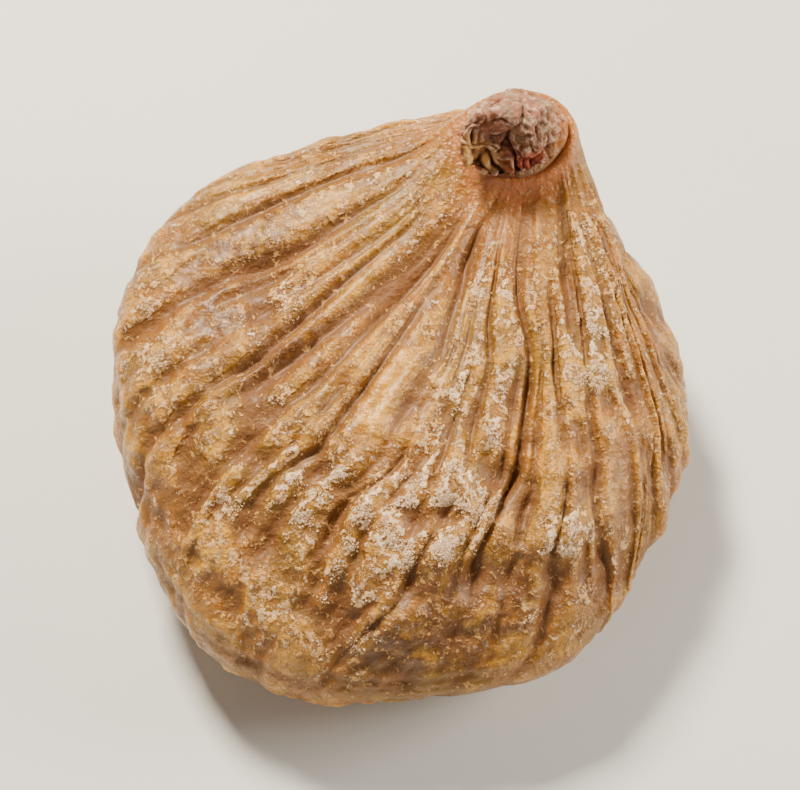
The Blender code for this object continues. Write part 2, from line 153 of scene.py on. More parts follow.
# How far a groove reaches from its crease, at most and at least, how wide a pleat is that has its
# full relief, and the relief of a narrow one
GROOVE_HALF_WIDTH = 1.4
GROOVE_LEAST_WIDTH = 0.05
FULL_PLEAT_WIDTH = 1.6
NARROW_PLEAT_RELIEF = 0.25
# Creases between the main ones: depth, where they start, how soon they are full, how they wave
FILL_SEED = 11
FILL_DEPTH = (0.3, 0.7)
FILL_START = (0.10, 0.27)
FILL_RISE = 0.05
FILL_WAVES = (9, 17)
FILL_WANDER = 0.16
FILL_FADE = [(0.50, 1.0), (0.62, 0.4), (0.80, 0.3), (1.00, 0.3)]
# How much higher or lower one pleat stands than the next, and over what share of it they blend
RIDGE_SEED = 5
RIDGE_OFFSET = 0.22
RIDGE_BLEND = 0.35
# Broad lumps and knobs: how close they lie, per millimetre, and their height
BROAD_LUMP = (0.085, 0.55)
KNOB = (0.31, 0.5)
# How strong the pleats, the broad lumps and the knobs are at each level
PLEAT_FADE = [(0.07, 0.0), (0.10, 0.5), (0.16, 1.15), (0.22, 1.3), (0.42, 1.2), (0.48, 0.9),
              (0.53, 0.75), (0.60, 1.2), (0.68, 1.5), (0.74, 0.8), (0.84, 0.8), (0.92, 1.2),
              (1.00, 0.0)]
BROAD_FADE = [(0.08, 0.0), (0.22, 1.0), (0.60, 1.0), (0.72, 0.2), (1.00, 0.1)]
KNOB_FADE = [(0.12, 0.0), (0.24, 0.35), (0.33, 1.0), (0.44, 1.0), (0.54, 0.35), (0.90, 0.2),
             (1.00, 0.0)]

# Fine wrinkles: how close they lie across and along the pleats, per millimetre, and their depth
FURROW = (0.55, 0.12, 0.05)
FURROW_WIDTH = 0.30
RIPPLE = (0.85, 0.40, 0.10)
BEAD = (0.85, 0.18)
GRIT = (1.5, 0.055)
CRUST = (1.0, 0.20)
LIP_LINE = (0.10, 1.3, 0.10)
FINE_FADE = [(0.12, 0.0), (0.17, 0.5), (0.24, 1.0), (0.62, 1.0), (0.72, 0.5), (0.92, 0.4),
             (1.00, 0.0)]
LIP_FADE = [(0.42, 0.0), (0.48, 1.0), (0.60, 1.0), (0.66, 0.0)]
# Each noise is read at a place of its own, so that no two are alike
NOISE_GAIN = 1.6
ASIDE = {"turn": 9, "cloud": 30, "ripple": 40, "spot": 45, "crust": 60, "grit": 80, "lip": 90}

# Where the pleats lie softer than their rule, or firmer if negative: turn, spread, level, spread, share
SOFTER = [
    (138, 34, 0.40, 0.12, 0.60),
    (248, 30, 0.460, 0.055, 0.20),
    (325, 8, 0.385, 0.040, 0.60),
    (295, 45, 0.525, 0.030, 0.35),
    (332, 16, 0.300, 0.080, 0.30),
    (320, 5, 0.270, 0.060, 0.30),
    (260, 12, 0.455, 0.040, 0.55),
    (285, 30, 0.400, 0.050, 0.35),
    (255, 40, 0.480, 0.045, 0.30),
    (205, 32, 0.240, 0.060, -0.60),
    (275, 75, 0.165, 0.060, -2.50),
]
# Where the creases between the main ones are fainter: turn, spread, level, spread, share
FAINTER = [
    (175, 32, 0.28, 0.16, 0.80),
    (250, 28, 0.455, 0.060, 0.30),
    (5, 25, 0.40, 0.09, 0.45),
    (336, 16, 0.30, 0.09, 0.60),
    (280, 80, 0.170, 0.075, 0.95),
]
# Where the skin has few knobs, ripples and beads: turn, spread, level, spread, share
CALMER = [
    (0, 26, 0.36, 0.13, 0.80),
    (148, 36, 0.37, 0.15, 0.80),
    (325, 9, 0.390, 0.050, 0.85),
    (280, 70, 0.540, 0.060, 0.70),
    (280, 80, 0.120, 0.050, 0.85),
]
SOFTER_LIMITS = (-2.5, 0.85)
FAINTER_LIMIT = 0.9
CALMER_LIMIT = 0.95
# How much of a pleat's width its grooves may take, at each level
PLEAT_SHARE = [(0.18, 0.98), (0.28, 0.74)]
# How far the grooves lean to one side and how round their bottoms are, as shares of their reach
LEAN_SEED = 19
CREASE_LEAN = 0.40
CREASE_ROUND = 0.15
# How far the folds are rounded, by passes of smoothing and their share at each level
ROUNDED = [(36, [(0.09, 0.85), (0.18, 0.80), (0.27, 0.0)]), (3, [(0.20, 0.0), (0.26, 0.35)])]
CREASE_LIMIT = 1.0
HOLLOW_SHARE = 0.45
# How the creases' depth and turn in degrees wander along them: how often, how much at each level,
# and how unlike the wander of one crease is to the next one's
WANDER = 9.0
WANDER_APART = 3.7
DEPTH_WANDER = [(0.10, 0.2), (0.24, 0.4), (0.34, 0.6), (0.42, 0.9), (0.60, 0.8), (0.80, 0.3)]
DEPTH_LIMITS = (0.1, 2)
TURN_WANDER = [(0.14, 0.0), (0.24, 0.8), (0.34, 1.4), (0.50, 1.6), (0.62, 0.8), (0.80, 0.0)]
TURN_WANDER_APART = 0.3
TURN_WANDER_RATE = 1.6
# The widest creases, opened further, and the collar's lip, raised: turn, spread, level, spread, depth
SLITS = [
    (297, 6.5, 0.285, 0.060, 0.95),
    (287, 6.0, 0.375, 0.026, 0.40),
    (249, 8.0, 0.172, 0.032, 0.75),
    (219, 3.5, 0.280, 0.035, 0.30),
    (340, 42, 0.070, 0.020, -0.42),
]

# The skin's colour darkens in the valleys, partly its own redder brown and partly painted shade.
# Valleys for the colour: places that lie lower than the skin smoothed by some passes, how low a full
# valley lies, how far they count at each level, and how deep in one the crust of sugar still forms
VALLEY_PASSES = 70
VALLEY_DEPTH = 0.42
VALLEY_FADE = [(0.09, 0.1), (0.15, 1.0)]
CRUST_INTO_VALLEY = 0.6

# The grid of the skin and the coarser grid of its CAD solid: columns for each pleat, and rows from
# the socket to the eye with their levels
COLUMNS_PER_PLEAT = 8
FRAME_COLUMNS_PER_PLEAT = 3
FRAME_ROWS = 37
ROWS_PER_FRAME_ROW = 6
ROW_LEVELS = [(0, 0.0), (1, 0.03), (2, 0.05), (3, 0.07), (4, 0.09), (5, 0.12), (28, 0.62),
              (33, 0.83), (37, 1.0)]

# Where the sugar lies thick, or thin where negative: turn, spread, level, spread, amount
BLOOM_PATCHES = [
    (268, 6, 0.330, 0.016, 0.75),
    (281, 6, 0.340, 0.016, 0.85),
    (275, 12, 0.345, 0.030, 0.35),
    (266, 7, 0.360, 0.020, 0.35),
    (288, 5, 0.265, 0.035, 0.55),
    (272, 4, 0.265, 0.040, 0.60),
    (246, 8, 0.325, 0.016, 0.60),
    (226, 6, 0.312, 0.016, 0.40),
    (305, 8, 0.385, 0.026, 0.65),
    (296, 4, 0.430, 0.016, 0.60),
    (312, 7, 0.445, 0.026, 0.45),
    (262, 5, 0.180, 0.018, 0.45),
    (280, 4, 0.208, 0.014, 0.40),
    (228, 4, 0.170, 0.030, 0.35),
    (172, 8, 0.262, 0.018, 0.45),
    (194, 11, 0.280, 0.022, 0.45),
    (165, 4, 0.200, 0.020, 0.30),
    (322, 9, 0.260, 0.045, 0.05),
    (325, 20, 0.230, 0.090, 0.22),
    (338, 8, 0.145, 0.022, 0.35),
    (10, 22, 0.380, 0.090, -0.25),
    (285, 42, 0.175, 0.040, 0.28),
    (243, 14, 0.440, 0.050, 0.28),
    (325, 5, 0.460, 0.030, 0.35),
    (258, 9, 0.400, 0.050, 0.40),
    (302, 7, 0.485, 0.018, 0.30),
    (262, 6, 0.490, 0.020, 0.25),
    (250, 5, 0.250, 0.035, -0.50),
    (232, 4, 0.265, 0.030, -0.50),
    (247, 5, 0.165, 0.025, -0.60),
    (291, 7, 0.400, 0.016, -0.45),
    (297.5, 3.5, 0.285, 0.060, -0.60),
    (325, 7, 0.375, 0.030, -0.40),
    (280, 14, 0.470, 0.014, -0.30),
]
BLOOM_BASE = 0.35
BLOOM_LUMP = (0.16, 0.30)
BLOOM_FADE = [(0.11, 0.0), (0.15, 0.8), (0.20, 1.0), (0.41, 1.0), (0.46, 0.7), (0.52, 0.3), (1.00, 0.2)]

# Brown skin, and painted shade in the creases at turns 248 and 297.5: turn, spread, level, spread, amount
BROWN_PATCHES = [
    (173, 14, 0.295, 0.032, 1.30),
    (163, 9, 0.265, 0.020, 0.50),
    (192, 11, 0.306, 0.026, 1.00),
    (214, 7, 0.290, 0.035, 1.20),
    (184, 4, 0.235, 0.024, 0.80),
    (248, 7, 0.170, 0.030, 0.20),
    (235, 5, 0.280, 0.030, 0.45),
    (292, 11, 0.412, 0.026, 0.80),
    (282, 28, 0.430, 0.055, 0.80),
    (297.5, 3.5, 0.285, 0.060, 0.30),
    (274, 7, 0.385, 0.014, 0.60),
    (268, 9, 0.440, 0.030, 0.40),
    (324, 8, 0.380, 0.030, 0.45),
    (243, 3, 0.290, 0.022, 0.50),
    (258, 3, 0.285, 0.022, 0.45),
    (368, 12, 0.400, 0.045, 0.60),
    (352, 8, 0.225, 0.025, 0.40),
    (180, 400, 1.000, 0.045, 0.90),
]
BROWN_CLOUD = (0.10, 0.35)
BROWN_SPOT = (0.33, 0.45)
# Where the skin is red round the stem: turn, spread, level, spread, amount
COLLAR_PATCHES = [
    (275, 48, 0.090, 0.042, 1.00),
    (345, 50, 0.085, 0.030, 0.40),
    (200, 60, 0.080, 0.030, 0.50),
    (90, 80, 0.085, 0.028, 0.50),
]
SOCKET_RED = [(0.00, 0.8), (0.05, 0.8), (0.075, 0.0)]


def curve(at, stations, values):
    """Smooth curve through stations that never swings past them."""
    xs = np.asarray(stations, float)
    ys = np.asarray(values, float)
    step = np.diff(xs)
    rise = np.diff(ys) / step
    slope = np.zeros_like(ys)
    slope[0] = rise[0]
    slope[-1] = rise[-1]
    for i in range(1, len(xs) - 1):
        if rise[i - 1] * rise[i] > 0:
            slope[i] = 2 * rise[i - 1] * rise[i] / (rise[i - 1] + rise[i])
    at = np.clip(at, xs[0], xs[-1])
    i = np.clip(np.searchsorted(xs, at, side="right") - 1, 0, len(step) - 1)
    t = (at - xs[i]) / step[i]
    return (
        (2 * t**3 - 3 * t**2 + 1) * ys[i]
        + (t**3 - 2 * t**2 + t) * step[i] * slope[i]
        + (-2 * t**3 + 3 * t**2) * ys[i + 1]
        + (t**3 - t**2) * step[i] * slope[i + 1]
    )


def patches(turn, level, rows):
    """Sum of soft patches at each place on the fruit, turn and level."""
    total = np.zeros_like(turn * level)
    for at, spread, height, reach, amount in rows:
        away = (turn - at + 180) % 360 - 180
        total = total + amount * np.exp(-((away / spread) ** 2) - ((level - height) / reach) ** 2)
    return total


def loft(rings, level, turn, swells=()):
    """Points of the smooth body at a level between its ends and a turn in degrees."""
    levels, *sizes = zip(*rings)
    x, y, z, half_width, half_depth, front, left = (curve(level, levels, size) for size in sizes)
    cosine = np.cos(np.radians(turn))
    sine = np.sin(np.radians(turn))
    push = patches(turn, level, swells)
    front = np.radians(front)
    left = np.radians(left)
    across = half_width * cosine
    deep = half_depth * sine
    return np.stack([
        x + across * np.cos(left) + push * cosine,
        y + deep * np.cos(front) + push * sine,
        z + deep * np.sin(front) + across * np.sin(left),
    ], axis=-1)


def outward(points):
    """Unit normals of a closed grid of points, row by row from one end to the other."""
    along = np.gradient(points, axis=0)
    around = np.roll(points, -1, axis=1) - np.roll(points, 1, axis=1)
    normal = np.cross(along, around)
    length = np.linalg.norm(normal, axis=-1, keepdims=True)
    return normal / np.maximum(length, 1e-9)


def fade(level, table):
    """The value at a level, on straight lines between the rows of a table."""
    return np.interp(level, *zip(*table))


def lumps(points, frequency):
    """Soft noise through space at each point, in the range of about -1 to 1."""
    flat = (points * np.asarray(frequency)).reshape(-1, 3)
    values = [noise.noise(Vector(point)) for point in flat]
    return np.array(values).reshape(points.shape[:-1]) * NOISE_GAIN


def creases(levels):
    """Turn and depth of every crease at each level, and which of them are main ones."""
    rng = random.Random(FILL_SEED)
    turns = []
    depths = []
    main = []
    total = len(CREASES)
    for k in range(total):
        count, line = CREASES[k]
        stations, line_turns, line_depths = zip(*line)
        turn = curve(levels, stations, line_turns)
        turns.append(turn)
        depths.append(np.interp(levels, stations, line_depths))
        stations, line_turns, _ = zip(*CREASES[(k + 1) % total][1])
        ahead = 360 if k == total - 1 else 0
        gap = curve(levels, stations, line_turns) + ahead - turn
        main += [True] + [False] * (count - 1)
        for j in range(1, count):
            waves = rng.uniform(*FILL_WAVES)
            phase = rng.uniform(0, 2 * np.pi)
            share = j / count + FILL_WANDER / count * np.sin(levels * waves * 2 + phase)
            start = rng.uniform(*FILL_START)
            strength = rng.uniform(*FILL_DEPTH)
            turns.append(turn + gap * share)
            grown = np.clip((levels - start) / FILL_RISE, 0, 1)
            depths.append(strength * grown * fade(levels, FILL_FADE))
    return np.stack(turns, axis=1), np.stack(depths, axis=1), np.array(main)


def knobbliness(turn, level):
    """How much of the knobs, ripples and beads the skin has, from 0 to 1."""
    return 1 - np.clip(patches(turn, level, CALMER), 0, CALMER_LIMIT)


def pleated_skin(levels, columns_per_pleat, finished=True):
    """The skin with its pleats, or unfinished as its CAD solid has them: body, relief, turn, level."""
    turns, depths, main = creases(levels)
    pleats = turns.shape[1]
    if finished:
        faint = np.clip(patches(turns, levels[:, None], FAINTER), 0, FAINTER_LIMIT)
        depths = np.minimum(depths, CREASE_LIMIT) * np.where(main, 1, 1 - faint)
        line = np.arange(pleats) * WANDER_APART + 0 * turns
        across = np.stack([line, levels[:, None] * WANDER + 0 * line, 0 * line], axis=-1)
        deeper = 1 + fade(levels, DEPTH_WANDER)[:, None] * lumps(across, 1.0)
        depths = np.minimum(depths * np.clip(deeper, *DEPTH_LIMITS), CREASE_LIMIT)
        aside = lumps(across * (TURN_WANDER_APART, 1, 1) + ASIDE["turn"], TURN_WANDER_RATE)
        turns = turns + fade(levels, TURN_WANDER)[:, None] * aside
    turns = np.concatenate([turns, turns[:, :1] + 360], axis=1)
    depths = np.concatenate([depths, depths[:, :1]], axis=1)
    place = np.arange(pleats * columns_per_pleat) / columns_per_pleat
    pleat = place.astype(int)
    share = place - pleat
    left = turns[:, pleat]
    right = turns[:, pleat + 1]
    turn = left + (right - left) * share
    level = levels[:, None] + 0 * turn
    body = loft(FRUIT_RINGS, level, turn, SWELLS)
    beside = loft(FRUIT_RINGS, level, turn + 1, SWELLS)
    arc = np.linalg.norm(beside - body, axis=-1)
    width = arc * (right - left)
    lean = np.zeros(pleats + 1)
    firm = 1
    knobby = 1
    soft = 0
    reach = GROOVE_HALF_WIDTH
    if finished:
        soft = CREASE_ROUND
        rng = random.Random(LEAN_SEED)
        lean = np.array([rng.uniform(-CREASE_LEAN, CREASE_LEAN) for _ in range(pleats)])
        lean = np.append(lean, lean[0])
        firm = 1 - np.clip(patches(turn, level, SOFTER), *SOFTER_LIMITS)
        knobby = knobbliness(turn, level)
        reach = np.clip(width * fade(level, PLEAT_SHARE), GROOVE_LEAST_WIDTH, GROOVE_HALF_WIDTH)
    from_left = np.hypot(share * width / (reach * (1 + lean[pleat])), soft)
    from_right = np.hypot((1 - share) * width / (reach * (1 - lean[pleat + 1])), soft)
    near_left = np.clip(1 - from_left, 0, 1) ** 2
    near_right = np.clip(1 - from_right, 0, 1) ** 2
    fullness = np.clip(width / FULL_PLEAT_WIDTH, NARROW_PLEAT_RELIEF, 1)
    strength = fade(level, PLEAT_FADE) * fullness * firm
    groove = np.maximum(depths[:, pleat] * near_left, depths[:, pleat + 1] * near_right) * strength

    rng = random.Random(RIDGE_SEED)
    heights = np.array([rng.uniform(-1, 1) for _ in range(pleats)]) * RIDGE_OFFSET
    blend = np.clip(share / RIDGE_BLEND, 0, 1)
    blend = blend * blend * (3 - 2 * blend)
    ridge = (heights[pleat - 1] * (1 - blend) + heights[pleat] * blend) * strength

    hollow = patches(turn, level, HOLLOWS)
    broad = BROAD_LUMP[1] * lumps(body, BROAD_LUMP[0]) * fade(level, BROAD_FADE)
    knobs = KNOB[1] * lumps(body, KNOB[0]) * fade(level, KNOB_FADE) * knobby
    if finished:
        hollow = hollow * HOLLOW_SHARE + patches(turn, level, SLITS)
    relief = ridge + broad + knobs - groove - hollow
    return body, relief, turn, level


def pleat_space(body):
    """Places in millimetres round and along the pleats, so that wrinkles follow them to the neck."""
    widest = body[body.shape[0] // 2]
    steps = np.linalg.norm(np.roll(widest, -1, axis=0) - widest, axis=1)
    round_it = np.cumsum(steps) / steps.sum() * 2 * np.pi
    radius = steps.sum() / (2 * np.pi)
    rows = np.linalg.norm(np.diff(body, axis=0), axis=2).mean(axis=1)
    along = np.concatenate([[0], np.cumsum(rows)])
    across_x = radius * np.cos(round_it)[None, :] + 0 * body[..., 0]
    across_y = radius * np.sin(round_it)[None, :] + 0 * body[..., 0]
    return np.stack([across_x, across_y, along[:, None] + 0 * body[..., 0]], axis=-1)


def smoothed(field, passes):
    """The field with each point drawn towards its neighbours round and along the grid."""
    for _ in range(passes):
        field = (np.roll(field, 1, axis=1) + 2 * field + np.roll(field, -1, axis=1)) / 4
        padded = np.pad(field, ((1, 1), (0, 0)), mode="edge")
        field = (padded[:-2] + 2 * field + padded[2:]) / 4
    return field


def fine_wrinkles(places, body, turn, level):
    """Thin furrows along the pleats, ripples, beads, and faint lines round the lower lip."""
    knobby = knobbliness(turn, level)
    across, along, depth = FURROW
    thread = lumps(places, (across, across, along))
    furrow = -depth * np.clip(1 - np.abs(thread) / FURROW_WIDTH, 0, 1) ** 2
    across, along, height = RIPPLE
    ripple = height * lumps(places + ASIDE["ripple"], (across, across, along))
    bead = BEAD[1] * lumps(body, BEAD[0]) * fade(level, KNOB_FADE)
    across, along, height = LIP_LINE
    line = height * lumps(places + ASIDE["lip"], (across, across, along)) * fade(level, LIP_FADE)
    grit = GRIT[1] * lumps(body + ASIDE["grit"], GRIT[0]) * fade(level, FINE_FADE)
    return (furrow + ripple + bead) * fade(level, FINE_FADE) * knobby + line + grit


def wrapped_drum(name, points):
    """A closed drum, cut into rings, that is carried onto a grid of points from end to end."""
    rows, columns = points.shape[:2]
    bpy.ops.mesh.primitive_cylinder_add(vertices=columns, radius=1, depth=2, end_fill_type="TRIFAN")
    shape = bpy.context.object
    shape.name = name
    shape.data.name = name
    bpy.ops.object.mode_set(mode="EDIT")
    bpy.ops.mesh.select_mode(type="EDGE")
    bpy.ops.mesh.select_all(action="DESELECT")
    bpy.ops.object.mode_set(mode="OBJECT")
    # Only the upright edges are cut; the first and the last row are the middles of the two ends
    for edge in shape.data.edges:
        top, bottom = (shape.data.vertices[v].co.z for v in edge.vertices)
        edge.select = abs(top - bottom) > 1
    bpy.ops.object.mode_set(mode="EDIT")
    bpy.ops.mesh.subdivide_edgering(number_cuts=rows - 4, interpolation="LINEAR")
    bpy.ops.object.mode_set(mode="OBJECT")
    places = np.empty(len(shape.data.vertices) * 3)
    shape.data.vertices.foreach_get("co", places)
    x, y, z = places.reshape(-1, 3).T
    row = np.rint((1 - z) / 2 * (rows - 3)).astype(int) + 1
    middle = np.hypot(x, y) < 0.5
    row[middle] = np.where(z[middle] > 0, 0, rows - 1)
    column = np.rint(np.arctan2(y, x) / (2 * np.pi) * columns).astype(int) % columns
    shape.data.vertices.foreach_set("co", (points[row, column] * MM).ravel())
    bpy.ops.object.mode_set(mode="EDIT")
    bpy.ops.mesh.select_all(action="SELECT")
    bpy.ops.mesh.normals_make_consistent(inside=False)
    bpy.ops.object.mode_set(mode="OBJECT")
    bpy.ops.object.shade_smooth()
    return shape, row, column


def paint(shape, name, channels):
    """Stores one colour for each vertex, which the material reads."""
    layer = shape.data.color_attributes.new(name, "FLOAT_COLOR", "POINT")
    layer.data.foreach_set("color", np.stack(channels, axis=-1).ravel())


# The CAD solid was moved so that its box is centred on the floor, and the skin moves with it
frame_levels = fade(np.arange(FRAME_ROWS + 1), ROW_LEVELS)
body, relief, _, _ = pleated_skin(frame_levels, FRAME_COLUMNS_PER_PLEAT, finished=False)
frame_skin = body + outward(body) * relief[..., None]
frame_skin[..., 2] = np.maximum(frame_skin[..., 2], 0)
fruit_low = np.array(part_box("fruit")[0]) / MM
drop = frame_skin.min(axis=(0, 1)) - fruit_low

fine_levels = fade(np.arange(FRAME_ROWS * ROWS_PER_FRAME_ROW + 1) / ROWS_PER_FRAME_ROW, ROW_LEVELS)
body, relief, turn, level = pleated_skin(fine_levels, COLUMNS_PER_PLEAT)
for passes, shares in ROUNDED:
    share = fade(level, shares)
    relief = relief * (1 - share) + smoothed(relief, passes) * share
places = pleat_space(body)
bloom = BLOOM_BASE + BLOOM_LUMP[1] * lumps(body, BLOOM_LUMP[0]) + patches(turn, level, BLOOM_PATCHES)
bloom = np.clip(bloom * fade(level, BLOOM_FADE), 0, 1)
cloud = BROWN_CLOUD[1] * np.clip(lumps(body + ASIDE["cloud"], BROWN_CLOUD[0]), 0, 1)
spot = BROWN_SPOT[1] * np.clip(lumps(body + ASIDE["spot"], BROWN_SPOT[0]), 0, 1)
brown = np.clip(patches(turn, level, BROWN_PATCHES) + cloud + spot * fade(level, FINE_FADE), 0, 1)
collar = np.clip(patches(turn, level, COLLAR_PATCHES) + fade(level, SOCKET_RED), 0, 1)
relief = relief + fine_wrinkles(places, body, turn, level)
crust = bloom**2 * CRUST[1] * np.clip(lumps(body + ASIDE["crust"], CRUST[0]), 0, 1)
valley = np.clip((smoothed(relief, VALLEY_PASSES) - relief) / VALLEY_DEPTH, -1, 1)
valley = valley * fade(level, VALLEY_FADE)
relief = relief + crust * np.clip(CRUST_INTO_VALLEY - valley, 0, 1)
skin = body + outward(body) * relief[..., None]
skin[..., 2] = np.maximum(skin[..., 2], 0)
skin = skin - drop

fig_skin, row, column = wrapped_drum("fig_skin", skin)
paint(fig_skin, "tone", [(valley * 0.5 + 0.5)[row, column], bloom[row, column], brown[row, column],
                         collar[row, column]])
threads = fig_skin.data.attributes.new("pleat_place", "FLOAT_VECTOR", "POINT")
threads.data.foreach_set("vector", places[row, column].ravel())


def node(tree, kind, inputs=(), **settings):
    """A shader node with its settings, and its sockets set or linked."""
    made = tree.nodes.new("ShaderNode" + kind)
    for name, value in settings.items():
        setattr(made, name, value)
    for socket, value in dict(inputs).items():
        if isinstance(value, bpy.types.NodeSocket):
            tree.links.new(value, made.inputs[socket])
        else:
            made.inputs[socket].default_value = value
    return made


def speckle(tree, place, scale, detail=3.0, rough=0.55):
    """Noise value at a place, about scale grains to the metre."""
    inputs = {"Vector": place, "Scale": scale, "Detail": detail, "Roughness": rough}
    return node(tree, "TexNoise", inputs).outputs["Fac"]


def stretched(tree, place, scale):
    """The place with each axis scaled on its own."""
    return node(tree, "Mapping", {"Vector": place, "Scale": scale}).outputs[0]


def span(tree, value, low, high, bottom=0.0, top=1.0):
    """The value carried from low and high to bottom and top, with soft ends."""
    inputs = {"Value": value, "From Min": low, "From Max": high, "To Min": bottom, "To Max": top}
    return node(tree, "MapRange", inputs, interpolation_type="SMOOTHSTEP").outputs[0]


def spots(tree, place, pattern):
    """Spots of noise in a pattern: scale, detail, roughness, and the limits that span takes."""
    scale, detail, rough, *limits = pattern
    return span(tree, speckle(tree, place, scale, detail, rough), *limits)


def times(tree, first, second, operation="MULTIPLY"):
    """The product, or the outcome of another operation, kept between 0 and 1."""
    return node(tree, "Math", {0: first, 1: second}, operation=operation, use_clamp=True).outputs[0]


def laid_over(tree, amount, under, over):
    """The colour under with the colour over laid on it by an amount."""
    return node(tree, "Mix", {0: amount, 6: under, 7: over}, data_type="RGBA").outputs[2]


def new_finish(name, even):
    """A new material, its node tree and its shader, with the values that are even all over it."""
    material = bpy.data.materials.new(name)
    material.use_nodes = True
    shader = material.node_tree.nodes["Principled BSDF"]
    for socket, value in even.items():
        shader.inputs[socket].default_value = value
    return material, material.node_tree, shader


def painted(tree):
    """The place and the four painted tones of a piece."""
    place = node(tree, "TexCoord").outputs["Object"]
    tone = node(tree, "Attribute", attribute_name="tone")
    parts = node(tree, "SeparateColor", {0: tone.outputs["Color"]})
    return place, *parts.outputs[:3], tone.outputs["Alpha"]


def raised(tree, shader, heights, depth):
    """Bumps of several heights in the skin, each a value and its share of the depth in metres."""
    total = 0.0
    for value, share in heights:
        part = node(tree, "Math", {0: value, 1: share}, operation="MULTIPLY").outputs[0]
        total = node(tree, "Math", {0: total, 1: part}, operation="ADD").outputs[0]
    bump = node(tree, "Bump", {"Strength": 1.0, "Distance": depth, "Height": total})
    tree.links.new(bump.outputs[0], shader.inputs["Normal"])


# Patterns of noise on the skin: spots to the metre, detail and roughness of the noise, and for most
# of them the values at which a spot begins and is full, and what it counts there
OLIVE_CLOUDS = (150, 3.0, 0.55, 0.44, 0.60)
PALE_SPOTS = (330, 3.0, 0.55, 0.36, 0.60, 0.1, 0.8)
BROWN_MOTTLE = (900, 4.0, 0.55, 0.35, 0.60, 0.35, 1.0)
SUGAR_CLUMPS = (950, 4.0, 0.65, 0.42, 0.57, 0.15, 1.0)
SUGAR_GLINTS = (2600, 3.0, 0.55, 0.57, 0.66)
WAX_ROUGHNESS = (1400, 3.0, 0.55, 0.35, 0.65, 0.22, 0.38)
SUGAR_CURLS = (1300, 4.0, 0.60)
SUGAR_CRUMBS = (1900, 4.0, 0.62)
SKIN_CRUMPLE = (900, 4.0, 0.55)
# Brown streaks and raised threads along the pleats: how many to the millimetre round and along them
STREAKS = (0.9, 0.9, 0.10)
THREADS = (1.6, 1.6, 0.4)
THREADS_FROM_NECK = (9.0, 24.0, 0.1, 1.0)
# What the skin takes from a value: where that begins and is full, and how much it is at each end.
# A valley is 0.5 on level skin, less on a crest and 1 in the deepest crease.
CREST_HIGHLIGHT = (0.52, 0.34)
STREAK_AMBER = (0.50, 0.72, 0, 0.25)
VALLEY_SHADE_AMBER = (0.49, 0.74, 0, 0.85)
VALLEY_SHADE_RUST = (0.72, 1.0, 0, 0.8)
VALLEY_DULL = (0.52, 0.75)
VALLEY_SUGAR = (0.70, 0.44)
BROWN_SUGAR = (0.2, 1.0, 1.0, 0.40)
CURL_LACE = (0.10, 0.0)
DRIFT_REACH = (0.0, 0.75, 0.0, 0.16)
CRUST_EDGE = (0.575, 0.655)
DRIFT_PIT_SHADE = (0.06, 0.40)
CRUMB_SNOW = (0.50, 0.60)
DRIFT_SNOW = (0.38, 0.85)
DRIFT_GLINTS = (0.04, 0.35, 0, 0.90)
COVER_GRIT = (0.05, 0.45, 0.3, 1.0)
LACE_SHARE = 0.14
COLLAR_SHARE = 0.90
PIT_SHADE_SHARE = 0.72
CRUST_SHARE = 0.80
SKIN_BUMP = 0.00030


